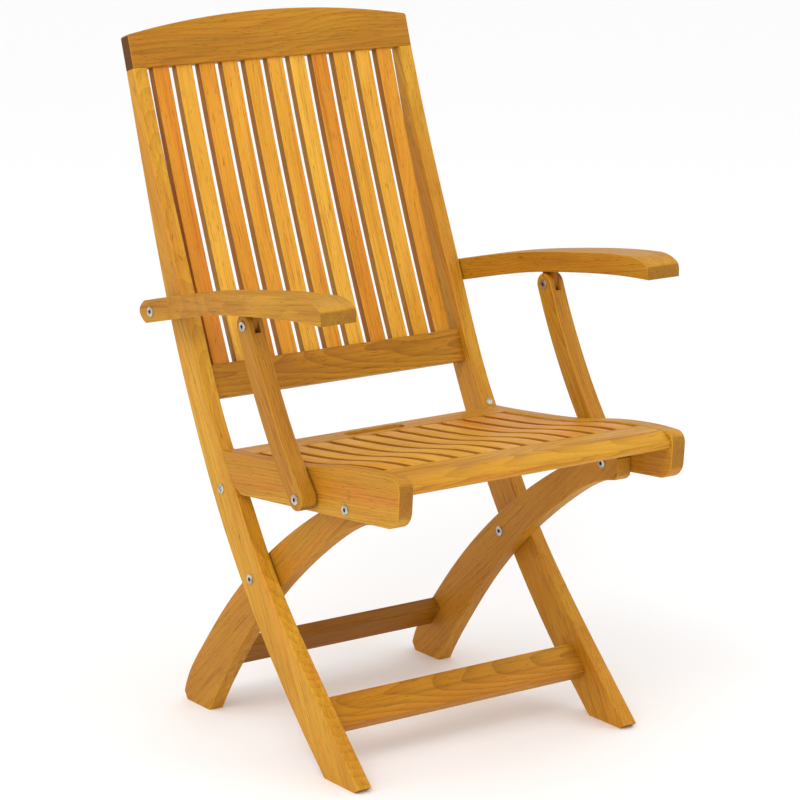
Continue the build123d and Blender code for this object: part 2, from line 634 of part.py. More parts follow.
if __name__ == "__main__":
    os.makedirs("parts", exist_ok=True)
    pieces = build()
    boxes = [piece.bounding_box() for piece in pieces.values()]
    front_most = min(box.min.Y for box in boxes)
    rear_most = max(box.max.Y for box in boxes)
    centre = Pos(0, -(front_most + rear_most) / 2, 0)
    for node, shape in pieces.items():
        export_step(centre * shape, f"parts/{node}.step")
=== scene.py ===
"""Looks of a wooden folding garden armchair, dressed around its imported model.

Lengths are in metres. The chair faces -Y, +Z is up and X runs from arm to arm.
"""
import logging
from dataclasses import dataclass, field
from enum import Enum
from math import pi, radians

import bpy
from mathutils import Euler, Matrix, Vector


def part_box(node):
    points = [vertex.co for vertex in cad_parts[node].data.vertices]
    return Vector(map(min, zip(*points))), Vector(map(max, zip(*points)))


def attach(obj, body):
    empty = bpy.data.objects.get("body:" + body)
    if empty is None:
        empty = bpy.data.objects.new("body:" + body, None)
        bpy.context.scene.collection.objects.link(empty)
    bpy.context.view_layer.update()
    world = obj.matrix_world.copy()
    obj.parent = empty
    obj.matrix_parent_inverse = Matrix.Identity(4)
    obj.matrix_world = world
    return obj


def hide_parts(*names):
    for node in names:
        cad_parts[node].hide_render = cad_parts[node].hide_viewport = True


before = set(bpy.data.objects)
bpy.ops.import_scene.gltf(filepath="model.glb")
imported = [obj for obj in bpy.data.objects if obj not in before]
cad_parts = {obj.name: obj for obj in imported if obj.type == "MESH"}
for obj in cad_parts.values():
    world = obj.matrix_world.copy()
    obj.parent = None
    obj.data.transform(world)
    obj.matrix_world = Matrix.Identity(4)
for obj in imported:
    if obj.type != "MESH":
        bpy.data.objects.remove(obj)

logging.basicConfig(level=logging.INFO, format="%(name)s: %(message)s")
LOG = logging.getLogger("chair")
RING_PHASE = 20.0           # phase a wave texture gains per unit of length
SIDEWAYS = (1.0, 0.0, 0.0)

Colour = tuple[float, float, float]
Point = tuple[float, float, float]


def paint(red: int, green: int, blue: int) -> Colour:
    """Turn a display colour into the linear one that shaders use.

    Args:
        red: Red share, 0 to 255.
        green: Green share, 0 to 255.
        blue: Blue share, 0 to 255.

    Returns:
        The linear colour.
    """
    shares = [share / 255 for share in (red, green, blue)]
    return tuple(share / 12.92 if share <= 0.04045 else ((share + 0.055) / 1.055) ** 2.4
                 for share in shares)


def toned(colour: Colour, tone: float) -> Colour:
    """Lighten or darken a colour by a factor, warmer as it gets darker."""
    return (colour[0] * tone ** 0.8, colour[1] * tone, colour[2] * tone ** 1.3)


def opaque(colour: Colour) -> tuple[float, float, float, float]:
    """A colour with full alpha, as sockets take it."""
    return (*colour, 1.0)


class Cut(Enum):
    """How a board was sawn from the log: pith's place beside and below it, and its tilt."""

    CATHEDRAL = ((0.004, -0.030), 2.6)
    FLAT = ((-0.035, -0.060), 1.4)
    QUARTER = ((-0.160, 0.020), 0.8)

    @property
    def pith(self) -> tuple[float, float]:
        """Offset of the pith across the face and through the board."""
        return self.value[0]

    @property
    def tilt(self) -> float:
        """Tilt between the pith and the board, in degrees."""
        return self.value[1]


@dataclass(frozen=True)
class Board:
    """How one board lies and how it was sawn."""

    node: str
    grain: Point
    face: Point
    cut: Cut = Cut.FLAT
    tone: float = 1.0
    seed: float = 0.0
    end_share: float = 0.4


class Shader:
    """Short calls that build one material's nodes."""

    def __init__(self, name: str) -> None:
        """Start an empty node material with a principled surface.

        Args:
            name: The material's name.
        """
        self.material = bpy.data.materials.new(name)
        self.material.use_nodes = True
        self.nodes = self.material.node_tree.nodes
        self.links = self.material.node_tree.links
        self.surface = self.nodes["Principled BSDF"]

    def join(self, value: object, socket: bpy.types.NodeSocket) -> None:
        """Link an output to a socket, or set a plain value on it.

        Args:
            value: A node's output, or a number, colour or vector.
            socket: The input that takes it.
        """
        if isinstance(value, bpy.types.NodeSocket):
            self.links.new(value, socket)
        else:
            socket.default_value = value

    def math(self, operation: str, first: object, second: object = 0.0
             ) -> bpy.types.NodeSocket:
        """Add a math node.

        Args:
            operation: What it works out.
            first: First value or output.
            second: Second value or output.

        Returns:
            The result's output.
        """
        node = self.nodes.new("ShaderNodeMath")
        node.operation = operation
        self.join(first, node.inputs[0])
        self.join(second, node.inputs[1])
        return node.outputs[0]

    def vector(self, operation: str, first: object, second: object) -> bpy.types.NodeSocket:
        """Add a vector math node.

        Args:
            operation: What it works out.
            first: First vector or output.
            second: Second vector or output.

        Returns:
            The vector's output, or the value's for a dot product.
        """
        node = self.nodes.new("ShaderNodeVectorMath")
        node.operation = operation
        self.join(first, node.inputs[0])
        self.join(second, node.inputs[1])
        return node.outputs["Value" if operation == "DOT_PRODUCT" else "Vector"]

    def ramp(self, value: object, low: float, high: float, start: float = 0.0,
             end: float = 1.0) -> bpy.types.NodeSocket:
        """Map a value smoothly from one range to another.

        Args:
            value: The output to map.
            low: Low end of its range.
            high: High end of its range.
            start: Result at the low end.
            end: Result at the high end.

        Returns:
            The mapped value's output.
        """
        node = self.nodes.new("ShaderNodeMapRange")
        node.interpolation_type = "SMOOTHSTEP"
        for place, number in zip((1, 2, 3, 4), (low, high, start, end)):
            node.inputs[place].default_value = number
        self.join(value, node.inputs[0])
        return node.outputs[0]

    def turn(self, vector: object, location: Point = (0, 0, 0), turn: Point = (0, 0, 0),
             scale: Point = (1, 1, 1)) -> bpy.types.NodeSocket:
        """Scale, turn and shift a vector with a mapping node.

        Args:
            vector: The output to map.
            location: Shift, in metres.
            turn: Turn about each axis, in radians.
            scale: Scale along each axis.

        Returns:
            The mapped vector's output.
        """
        node = self.nodes.new("ShaderNodeMapping")
        self.join(vector, node.inputs["Vector"])
        node.inputs["Location"].default_value = location
        node.inputs["Rotation"].default_value = turn
        node.inputs["Scale"].default_value = scale
        return node.outputs[0]

    def noise(self, vector: object, scale: Point, seed: float, detail: float = 3.0,
              rough: float = 0.55) -> bpy.types.NodeSocket:
        """Add seeded noise, stretched by a scale along each axis.

        Args:
            vector: Coordinates that the noise follows.
            scale: Noise cells per metre along each axis.
            seed: Place in the noise's fourth dimension.
            detail: Finer layers added.
            rough: Strength of the finer layers.

        Returns:
            The noise's output, 0 to 1.
        """
        node = self.nodes.new("ShaderNodeTexNoise")
        node.noise_dimensions = "4D"
        self.join(self.turn(vector, scale=scale), node.inputs["Vector"])
        node.inputs["W"].default_value = seed
        node.inputs["Scale"].default_value = 1.0
        node.inputs["Detail"].default_value = detail
        node.inputs["Roughness"].default_value = rough
        return node.outputs["Fac"]

    def mix(self, share: object, first: object, second: object,
            blend: str = "MIX") -> bpy.types.NodeSocket:
        """Mix two colours.

        Args:
            share: Share of the second colour.
            first: First colour or output.
            second: Second colour or output.
            blend: How they are mixed.

        Returns:
            The mixed colour's output.
        """
        node = self.nodes.new("ShaderNodeMix")
        node.data_type = "RGBA"
        node.blend_type = blend
        self.join(share, node.inputs["Factor"])
        self.join(first, node.inputs["A"])
        self.join(second, node.inputs["B"])
        return node.outputs["Result"]

    def bump(self, height: object, strength: float, distance: float) -> None:
        """Give the surface relief from a height.

        Args:
            height: The height's output.
            strength: Strength of the relief.
            distance: Depth of the relief, in metres.
        """
        node = self.nodes.new("ShaderNodeBump")
        node.inputs["Strength"].default_value = strength
        node.inputs["Distance"].default_value = distance
        self.join(height, node.inputs["Height"])
        self.join(node.outputs[0], self.surface.inputs["Normal"])


@dataclass(frozen=True)
class OiledWood:
    """Oiled hardwood with growth rings, fibres, pores and darker end grain, and painted shade on
    narrow sides where set.

    A grain scale gives the cells per metre along, across and through a board.
    """

    slot: str
    light: Colour
    middle: Colour
    dark: Colour
    # colour of end grain and pores, and of the painted shade on narrow sides
    end: Colour
    flame: Colour = paint(208, 118, 34)
    slat_tint: Colour = (0.88, 0.66, 0.40)
    ring_gap: float = 0.0042
    ring_share: float = 0.24
    cathedral_gain: float = 1.7
    fibre_share: float = 0.62
    flame_share: float = 0.45
    cloud_share: float = 0.8
    pore_share: float = 0.6
    # share of painted shade on the narrow sides, standing in for the shade between neighbouring
    # slats
    side_shade_share: float = 0.0
    wander: float = 0.05
    slat_shift: Point = (1.7, 0.23, 0.31)
    fibre_grain: Point = (7.0, 260.0, 260.0)
    streak_grain: Point = (2.4, 70.0, 70.0)
    cloud_grain: Point = (3.0, 14.0, 14.0)
    flame_grain: Point = (1.6, 34.0, 34.0)
    pore_grain: Point = (55.0, 900.0, 900.0)
    wander_grain: Point = (2.2, 9.0, 9.0)
    roughness: float = 0.5
    sawn_roughness: float = 0.2
    gloss: float = 0.16
    coat: float = 0.06
    coat_roughness: float = 0.35
    relief: float = 0.0004
    relief_strength: float = 0.5

    def board_coordinates(self, shader: Shader, board: Board, centre: Vector
                          ) -> bpy.types.NodeSocket:
        """Coordinates along, across and through a board, from its own middle.

        Args:
            shader: The material being built.
            board: How the board lies.
            centre: The board's middle.

        Returns:
            The board's own coordinates, in metres.
        """
        along = Vector(board.grain).normalized()
        through = Vector(board.face)
        through = (through - through.dot(along) * along).normalized()
        turn = Matrix((along, through.cross(along), through))
        coordinates = shader.nodes.new("ShaderNodeTexCoord")
        return shader.turn(coordinates.outputs["Object"], location=-(turn @ centre),
                           turn=turn.to_euler())

    def rings(self, shader: Shader, local: object, board: Board) -> bpy.types.NodeSocket:
        """Growth rings round a tilted pith that wanders a little.

        Args:
            shader: The material being built.
            local: The board's own coordinates.
            board: How the board was sawn.

        Returns:
            The rings' output, 1 in the dark late wood.
        """
        wander = shader.noise(local, self.wander_grain, board.seed + 3.1, 2.0)
        drift = shader.math("MULTIPLY", shader.math("SUBTRACT", wander, 0.5), self.wander)
        shifted = shader.nodes.new("ShaderNodeCombineXYZ")
        shader.join(drift, shifted.inputs["Y"])
        shader.join(drift, shifted.inputs["Z"])
        bent = shader.vector("ADD", local, shifted.outputs[0])
        tilt = radians(board.cut.tilt)
        pith = shader.turn(bent, location=(0.0, -board.cut.pith[0], -board.cut.pith[1]),
                           turn=(0.0, tilt, tilt / 3))
        wave = shader.nodes.new("ShaderNodeTexWave")
        wave.wave_type = "RINGS"
        wave.rings_direction = "X"
        wave.wave_profile = "SAW"
        shader.join(pith, wave.inputs["Vector"])
        wave.inputs["Scale"].default_value = 2 * pi / RING_PHASE / self.ring_gap
        wave.inputs["Distortion"].default_value = 0.0
        return shader.math("POWER", wave.outputs["Fac"], 1.8)

    def figure(self, shader: Shader, local: object, board: Board
               ) -> dict[str, bpy.types.NodeSocket]:
        """The wood's own patterns.

        Args:
            shader: The material being built.
            local: The board's own coordinates.
            board: How the board was sawn.

        Returns:
            Outputs by name: rings, fibres, streaks, clouds, flames and pores.
        """
        seed = board.seed
        pores = shader.noise(local, self.pore_grain, seed + 8.9, 1.0)
        return {
            "rings": self.rings(shader, local, board),
            "fibres": shader.noise(local, self.fibre_grain, seed, 4.0, 0.6),
            "streaks": shader.noise(local, self.streak_grain, seed + 11.7, 3.0),
            "clouds": shader.noise(local, self.cloud_grain, seed + 5.3, 2.0),
            "flames": shader.noise(local, self.flame_grain, seed + 21.3, 3.0),
            "pores": shader.ramp(pores, 0.60, 0.74),
        }

    def tint(self, shader: Shader, figure: dict[str, bpy.types.NodeSocket], board: Board
             ) -> bpy.types.NodeSocket:
        """Colour of a board's face, from its patterns.

        Args:
            shader: The material being built.
            figure: The wood's patterns.
            board: How the board was sawn, and its tone.

        Returns:
            The colour's output.
        """
        light = opaque(toned(self.light, board.tone))
        middle = opaque(toned(self.middle, board.tone))
        dark = opaque(toned(self.dark, board.tone))
        half = self.cloud_share / 2
        colour = shader.mix(shader.ramp(figure["clouds"], 0.32, 0.68, 0.5 - half, 0.5 + half),
                            light, middle)
        colour = shader.mix(shader.ramp(figure["streaks"], 0.42, 0.72, 0.0, self.fibre_share),
                            colour, middle)
        colour = shader.mix(shader.ramp(figure["flames"], 0.5, 0.7, 0.0, self.flame_share),
                            colour, opaque(toned(self.flame, board.tone)))
        gain = self.cathedral_gain if board.cut is Cut.CATHEDRAL else 1.0
        colour = shader.mix(shader.math("MULTIPLY", figure["rings"], self.ring_share * gain),
                            colour, dark)
        colour = shader.mix(shader.ramp(figure["fibres"], 0.45, 0.75, 0.0,
                                        self.fibre_share * 0.7), colour, dark)
        return shader.mix(shader.math("MULTIPLY", figure["pores"], self.pore_share), colour,
                          opaque(self.end))

    def wear_and_side_shade(self, shader: Shader, figure: dict[str, bpy.types.NodeSocket], board: Board,
             colour: bpy.types.NodeSocket) -> tuple[bpy.types.NodeSocket, bpy.types.NodeSocket]:
        """Darken sawn ends, paint shade on the narrow sides, and rub the rounded edges lighter.

        Args:
            shader: The material being built.
            figure: The wood's patterns.
            board: How the board lies.
            colour: Colour of the board's face.

        Returns:
            The worn colour with painted side shade, and how far a place is sawn end grain.
        """
        normal = shader.nodes.new("ShaderNodeTexCoord").outputs["Normal"]
        along = Vector(board.grain).normalized()
        face = Vector(board.face).normalized()
        across = Vector(board.face).cross(along).normalized()
        facing_end = shader.math("ABSOLUTE", shader.vector("DOT_PRODUCT", normal, along))
        sawn = shader.ramp(facing_end, 0.78, 0.97, 0.0, board.end_share)
        colour = shader.mix(sawn, colour, opaque(self.end))
        # painted shade: narrow sides facing across the board go toward the end-grain colour,
        # standing in for the shade between slats
        shaded_side = shader.math("ABSOLUTE", shader.vector("DOT_PRODUCT", normal, across))
        colour = shader.mix(shader.ramp(shaded_side, 0.75, 0.98, 0.0, self.side_shade_share), colour,
                            opaque(self.end))
        square = shader.math("POWER", shader.vector("DOT_PRODUCT", normal, face), 2.0)
        arris = shader.math("MULTIPLY", square, shader.math("SUBTRACT", 1.0, square))
        rubbed = shader.math("MULTIPLY", shader.ramp(arris, 0.08, 0.25),
                             shader.ramp(figure["streaks"], 0.35, 0.65, 0.1, 0.45))
        return shader.mix(rubbed, colour, opaque(toned(self.light, 1.08))), sawn

    def dress(self, board: Board, centre: Vector, attribute: str | None = None
              ) -> bpy.types.Material:
        """Build the material of one board.

        Args:
            board: How the board lies and was sawn.
            centre: The board's middle.
            attribute: Name of a tone stored on the mesh, where one mesh holds several boards.

        Returns:
            The finished material.
        """
        shader = Shader(f"{self.slot}_{board.node}")
        local = self.board_coordinates(shader, board, centre)
        stored = None
        if attribute:
            stored = shader.nodes.new("ShaderNodeAttribute")
            stored.attribute_name = attribute
            apart = shader.vector("MULTIPLY", stored.outputs["Vector"], self.slat_shift)
            local = shader.vector("ADD", local, apart)
        figure = self.figure(shader, local, board)
        colour = self.tint(shader, figure, board)
        if stored:
            tinted = shader.mix(1.0, colour, opaque(self.slat_tint), "MULTIPLY")
            colour = shader.mix(stored.outputs["Fac"], colour, tinted)
        colour, sawn = self.wear_and_side_shade(shader, figure, board, colour)
        surface = shader.surface.inputs
        shader.join(colour, surface["Base Color"])
        matt = shader.ramp(figure["fibres"], 0.3, 0.75, self.roughness - 0.05,
                           self.roughness + 0.09)
        sawn_matt = shader.math("MULTIPLY", sawn, self.sawn_roughness)
        shader.join(shader.math("ADD", matt, sawn_matt), surface["Roughness"])
        surface["Coat Weight"].default_value = self.coat
        surface["Coat Roughness"].default_value = self.coat_roughness
        surface["Specular IOR Level"].default_value = self.gloss
        height = shader.math("ADD", shader.math("MULTIPLY", figure["fibres"], -0.6),
                             shader.math("MULTIPLY", figure["pores"], -0.5))
        height = shader.math("ADD", height, shader.math("MULTIPLY", figure["rings"], 0.25))
        shader.bump(height, self.relief_strength, self.relief)
        return shader.material


@dataclass(frozen=True)
class BrightSteel:
    """Plated steel with fine turning marks and painted shade in the wrench socket."""

    slot: str = "steel"
    bright: Colour = paint(205, 202, 196)
    dull: Colour = paint(150, 146, 138)
    shadow: Colour = paint(52, 44, 36)
    roughness: float = 0.32
    roughness_spread: float = 0.12
    socket_radius: float = 0.0030
    mark_grain: Point = (900.0, 900.0, 900.0)
    blotch_grain: Point = (130.0, 130.0, 130.0)
    relief: float = 0.0001
    relief_strength: float = 0.15

    def dress(self, name: str, socket: bool = False) -> bpy.types.Material:
        """Build the steel of one node.

        Args:
            name: The node's name.
            socket: Whether to paint shade in the wrench sockets round its heads' common axis.

        Returns:
            The finished material.
        """
        shader = Shader(f"{self.slot}_{name}")
        low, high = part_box(name)
        axis = (low + high) / 2
        place = shader.nodes.new("ShaderNodeTexCoord").outputs["Object"]
        marks = shader.noise(place, self.mark_grain, 2.7, 2.0)
        blotches = shader.noise(place, self.blotch_grain, 6.1, 3.0)
        colour = shader.mix(shader.ramp(blotches, 0.35, 0.7), opaque(self.bright),
                            opaque(self.dull))
        metal: object = 1.0
        # painted shade: the socket's inside is painted dark and not metallic, standing in for the
        # shade in the recess
        if socket:
            ring = shader.turn(place, location=(0.0, -axis.y, -axis.z))
            flat = shader.vector("MULTIPLY", ring, (0.0, 1.0, 1.0))
            length = shader.nodes.new("ShaderNodeVectorMath")
            length.operation = "LENGTH"
            shader.join(flat, length.inputs[0])
            socket_shade = shader.ramp(length.outputs["Value"], self.socket_radius * 0.93,
                                 self.socket_radius * 1.05, 1.0, 0.0)
            colour = shader.mix(socket_shade, colour, opaque(self.shadow))
            metal = shader.math("SUBTRACT", 1.0, socket_shade)
        shader.join(colour, shader.surface.inputs["Base Color"])
        shader.join(metal, shader.surface.inputs["Metallic"])
        matt = shader.ramp(blotches, 0.3, 0.7, self.roughness,
                           self.roughness + self.roughness_spread)
        shader.join(matt, shader.surface.inputs["Roughness"])
        shader.bump(marks, self.relief_strength, self.relief)
        return shader.material


@dataclass(frozen=True)
class MouldedNylon:
    """Ivory moulded nylon with a fine matt skin."""

    slot: str = "nylon"
    colour: Colour = paint(214, 205, 182)
    roughness: float = 0.5
    skin_grain: Point = (1500.0, 1500.0, 1500.0)
    soil_grain: Point = (90.0, 90.0, 90.0)
    soil_share: float = 0.4
    relief: float = 0.0001
    relief_strength: float = 0.2

    def dress(self, name: str) -> bpy.types.Material:
        """Build the nylon of one node.

        Args:
            name: The node's name.

        Returns:
            The finished material.
        """
        shader = Shader(f"{self.slot}_{name}")
        place = shader.nodes.new("ShaderNodeTexCoord").outputs["Object"]
        skin = shader.noise(place, self.skin_grain, 1.9, 2.0)
        soil = shader.noise(place, self.soil_grain, 4.4, 2.0)
        colour = shader.mix(shader.ramp(soil, 0.4, 0.8, 0.0, self.soil_share),
                            opaque(self.colour), opaque(toned(self.colour, 0.7)))
        shader.join(colour, shader.surface.inputs["Base Color"])
        shader.surface.inputs["Roughness"].default_value = self.roughness
        shader.bump(skin, self.relief_strength, self.relief)
        return shader.material


GOLDEN = OiledWood("golden_wood", paint(212, 158, 44), paint(190, 128, 26), paint(126, 72, 12),
                   paint(90, 52, 16))
# the slat wood paints shade on the narrow slat sides, standing in for the shade between slats
PALE = OiledWood("slat_wood", paint(232, 178, 62), paint(212, 150, 38), paint(150, 86, 16),
                 paint(112, 64, 16), ring_share=0.2, side_shade_share=0.6, relief=0.0003)
BROWN = OiledWood("brown_wood", paint(194, 138, 26), paint(172, 112, 16), paint(104, 58, 8),
                  paint(66, 38, 14), flame_share=0.25)
STEEL = BrightSteel()
NYLON = MouldedNylon()


def assign(node: str, material: bpy.types.Material, finish: str) -> None:
    """Give a CAD node its finished material.

    Args:
        node: The node's name.
        material: The material to show.
        finish: Name of the finish, for the log.
    """
    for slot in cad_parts[node].material_slots:
        slot.material = material
    LOG.info("%s dressed in %s", node, finish)


def dress_board(board: Board, wood: OiledWood) -> None:
    """Give one board its own piece of wood.

    Args:
        board: How the board lies and was sawn.
        wood: The wood's finish.
    """
    low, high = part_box(board.node)
    assign(board.node, wood.dress(board, (low + high) / 2), wood.slot)


class SlatTree:
    """Geometry nodes that sweep one slat along its middle line and repeat it across the chair."""

    TONE = "tone"

    def __init__(self, name: str) -> None:
        """Build the tree with its named inputs.

        Args:
            name: The tree's name.
        """
        self.tree = bpy.data.node_groups.new(name, "GeometryNodeTree")
        self.tree.is_modifier = True
        face = self.tree.interface
        face.new_socket("Geometry", in_out="INPUT", socket_type="NodeSocketGeometry")
        self.names = {}
        for label, kind in (("Count", "Int"), ("Pitch", "Float"), ("Width", "Float"),
                            ("Thickness", "Float"), ("Edge round", "Float"),
                            ("Stations", "Int"), ("Seed", "Int"), ("Wood", "Material")):
            item = face.new_socket(label, in_out="INPUT", socket_type=f"NodeSocket{kind}")
            self.names[label] = item.identifier
        face.new_socket("Geometry", in_out="OUTPUT", socket_type="NodeSocketGeometry")
        self.build()

    def add(self, kind: str, **settings: object) -> bpy.types.Node:
        """Add a node with some of its settings.

        Args:
            kind: The node's type.
            settings: Its properties by name.

        Returns:
            The node.
        """
        node = self.tree.nodes.new(kind)
        for key, value in settings.items():
            setattr(node, key, value)
        return node

    def build(self) -> None:
        """Lay out the nodes: section, sweep, row of slats, tones, one plain mesh."""
        link = self.tree.links.new
        given = self.add("NodeGroupInput").outputs
        section = self.add("GeometryNodeCurvePrimitiveQuadrilateral")
        link(given["Width"], section.inputs["Width"])
        link(given["Thickness"], section.inputs["Height"])
        rounded = self.add("GeometryNodeFilletCurve", mode="POLY")
        rounded.inputs["Count"].default_value = 4
        link(section.outputs["Curve"], rounded.inputs["Curve"])
        link(given["Edge round"], rounded.inputs["Radius"])
        path = self.add("GeometryNodeResampleCurve")
        link(given["Geometry"], path.inputs["Curve"])
        link(given["Stations"], path.inputs["Count"])
        sweep = self.add("GeometryNodeCurveToMesh")
        link(path.outputs["Curve"], sweep.inputs["Curve"])
        link(rounded.outputs["Curve"], sweep.inputs["Profile Curve"])
        sweep.inputs["Fill Caps"].default_value = True
        step = self.add("ShaderNodeCombineXYZ")
        link(given["Pitch"], step.inputs["X"])
        gaps = self.add("ShaderNodeMath", operation="SUBTRACT")
        link(given["Count"], gaps.inputs[0])
        gaps.inputs[1].default_value = 1.0
        half = self.add("ShaderNodeMath", operation="MULTIPLY")
        link(gaps.outputs[0], half.inputs[0])
        half.inputs[1].default_value = -0.5
        first = self.add("ShaderNodeVectorMath", operation="SCALE")
        link(step.outputs[0], first.inputs[0])
        link(half.outputs[0], first.inputs["Scale"])
        row = self.add("GeometryNodeMeshLine", mode="OFFSET")
        link(given["Count"], row.inputs["Count"])
        link(first.outputs[0], row.inputs["Start Location"])
        link(step.outputs[0], row.inputs["Offset"])
        copies = self.add("GeometryNodeInstanceOnPoints")
        link(row.outputs["Mesh"], copies.inputs["Points"])
        link(sweep.outputs["Mesh"], copies.inputs["Instance"])
        chance = self.add("FunctionNodeRandomValue", data_type="FLOAT")
        link(given["Seed"], chance.inputs["Seed"])
        tones = self.add("GeometryNodeStoreNamedAttribute", data_type="FLOAT", domain="INSTANCE")
        tones.inputs["Name"].default_value = self.TONE
        link(copies.outputs["Instances"], tones.inputs["Geometry"])
        link(chance.outputs[1], tones.inputs["Value"])
        real = self.add("GeometryNodeRealizeInstances")
        link(tones.outputs["Geometry"], real.inputs["Geometry"])
        wood = self.add("GeometryNodeSetMaterial")
        link(real.outputs["Geometry"], wood.inputs["Geometry"])
        link(given["Wood"], wood.inputs["Material"])
        link(wood.outputs["Geometry"], self.add("NodeGroupOutput").inputs["Geometry"])


@dataclass
class SlatRow:
    """A row of equal slats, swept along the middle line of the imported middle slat."""

    name: str
    body: str
    node_stem: str
    board: Board
    width: float
    thickness: float
    edge_round: float
    seed: int
    line_points: int = 9
    stations: int = 40
    slices: int = 60
    least_corners: int = 4

    def nodes(self) -> list[str]:
        """Names of the CAD slats that this row stands for."""
        return sorted(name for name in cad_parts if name.startswith(self.node_stem))

    def middle_line(self) -> list[Vector]:
        """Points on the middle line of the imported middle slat, moved to the chair's middle.

        Returns:
            Points from the slat's start to its end.
        """
        names = self.nodes()
        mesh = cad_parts[names[len(names) // 2]].data
        along = Vector(self.board.grain).normalized()
        across = Vector(SIDEWAYS).cross(along)
        corners = [(vertex.co.dot(along), vertex.co.dot(across)) for vertex in mesh.vertices]
        start, end = min(corners)[0], max(corners)[0]
        reach = (end - start) / self.slices
        points = []
        for number in range(self.line_points):
            place = start + (end - start) * number / (self.line_points - 1)
            near = [side for along_it, side in corners if abs(along_it - place) < reach]
            if len(near) < self.least_corners:
                continue
            points.append(along * place + across * ((min(near) + max(near)) / 2))
        return points

    def build(self) -> bpy.types.Object:
        """Sweep, repeat and dress the slats as one piece.

        Returns:
            The finished row.
        """
        names = self.nodes()
        spans = [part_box(name) for name in names]
        places = [(low.x + high.x) / 2 for low, high in spans]
        pitch = (places[-1] - places[0]) / (len(places) - 1)
        line = bpy.data.curves.new(f"{self.name}_line", "CURVE")
        line.dimensions = "3D"
        spline = line.splines.new("BEZIER")
        points = self.middle_line()
        spline.bezier_points.add(len(points) - 1)
        for knot, point in zip(spline.bezier_points, points):
            knot.co = point
            knot.handle_left_type = knot.handle_right_type = "AUTO"
        holder = bpy.data.objects.new(f"{self.name}_holder", line)
        bpy.context.scene.collection.objects.link(holder)
        centre = sum(points, Vector()) / len(points)
        wood = PALE.dress(self.board, centre, SlatTree.TONE)
        tree = SlatTree(f"{self.name}_tree")
        modifier = holder.modifiers.new("slats", "NODES")
        modifier.node_group = tree.tree
        for label, value in (("Count", len(names)), ("Pitch", pitch), ("Width", self.width),
                             ("Thickness", self.thickness), ("Edge round", self.edge_round),
                             ("Stations", self.stations), ("Seed", self.seed), ("Wood", wood)):
            modifier[tree.names[label]] = value
        graph = bpy.context.evaluated_depsgraph_get()
        mesh = bpy.data.meshes.new_from_object(holder.evaluated_get(graph),
                                               preserve_all_data_layers=True, depsgraph=graph)
        holder.modifiers.remove(modifier)
        bpy.data.objects.remove(holder)
        piece = bpy.data.objects.new(self.name, mesh)
        bpy.context.scene.collection.objects.link(piece)
        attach(piece, self.body)
        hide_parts(*names)
        LOG.info("%s built: %d slats, %d faces", self.name, len(names), len(mesh.polygons))
        return piece


@dataclass
class BackFrame:
    """Posts, crest rail, lower rail, front stretcher and the bowed back slats."""

    upright: Point = (0.0, 0.47, 0.88)
    slat_run: Point = (0.0, 0.159, 0.4115)
    crest_face: Point = (0.0, -0.951, 0.309)
    rail_face: Point = (0.0, -0.940, 0.342)
    stretcher_face: Point = (0.0, -0.707, 0.707)
    slat_width: float = 0.0275
    slat_thickness: float = 0.0141
    slat_round: float = 0.0017
    boards: list[tuple[Board, OiledWood]] = field(default_factory=list)

    def __post_init__(self) -> None:
        """List the boards with their woods."""
        self.boards = [
            (Board("post_right", self.upright, SIDEWAYS, Cut.FLAT, 1.04, 0.3), GOLDEN),
            (Board("post_left", self.upright, SIDEWAYS, Cut.QUARTER, 1.08, 4.7), GOLDEN),
            (Board("crest_rail", SIDEWAYS, self.crest_face, Cut.FLAT, 1.0, 2.2, 0.85), BROWN),
            (Board("lower_back_rail", SIDEWAYS, self.rail_face, Cut.CATHEDRAL, 1.05, 7.9),
             BROWN),
            (Board("front_stretcher", SIDEWAYS, self.stretcher_face, Cut.CATHEDRAL, 0.9, 3.6),
             GOLDEN),
        ]

    def build(self) -> None:
        """Dress the boards and the metal, and build the slats."""
        for board, wood in self.boards:
            dress_board(board, wood)
        slat = Board("back_slats", self.slat_run, self.rail_face, Cut.QUARTER, 1.06, 1.4)
        SlatRow("back_slats", "back_frame", "back_slat_", slat, self.slat_width,
                self.slat_thickness, self.slat_round, seed=12).build()
        for node in ("crossing_bolts", "crossing_nuts"):
            assign(node, STEEL.dress(node, socket=True), STEEL.slot)
        for node in ("post_stud", "seat_rest_pins"):
            assign(node, STEEL.dress(node), STEEL.slot)


@dataclass
class LegFrame:
    """Curved legs, their rear stretcher and the pivot washers."""

    run: Point = (0.0, 0.75, -0.66)
    stretcher_face: Point = (0.0, 0.819, 0.574)

    def build(self) -> None:
        """Dress the legs, the stretcher and the washers."""
        dress_board(Board("curved_leg_right", self.run, SIDEWAYS, Cut.FLAT, 0.9, 9.2), GOLDEN)
        dress_board(Board("curved_leg_left", self.run, SIDEWAYS, Cut.QUARTER, 0.88, 6.6), GOLDEN)
        dress_board(Board("rear_stretcher", SIDEWAYS, self.stretcher_face, Cut.FLAT, 0.6, 5.5),
                    BROWN)
        assign("pivot_washers", NYLON.dress("pivot_washers"), NYLON.slot)


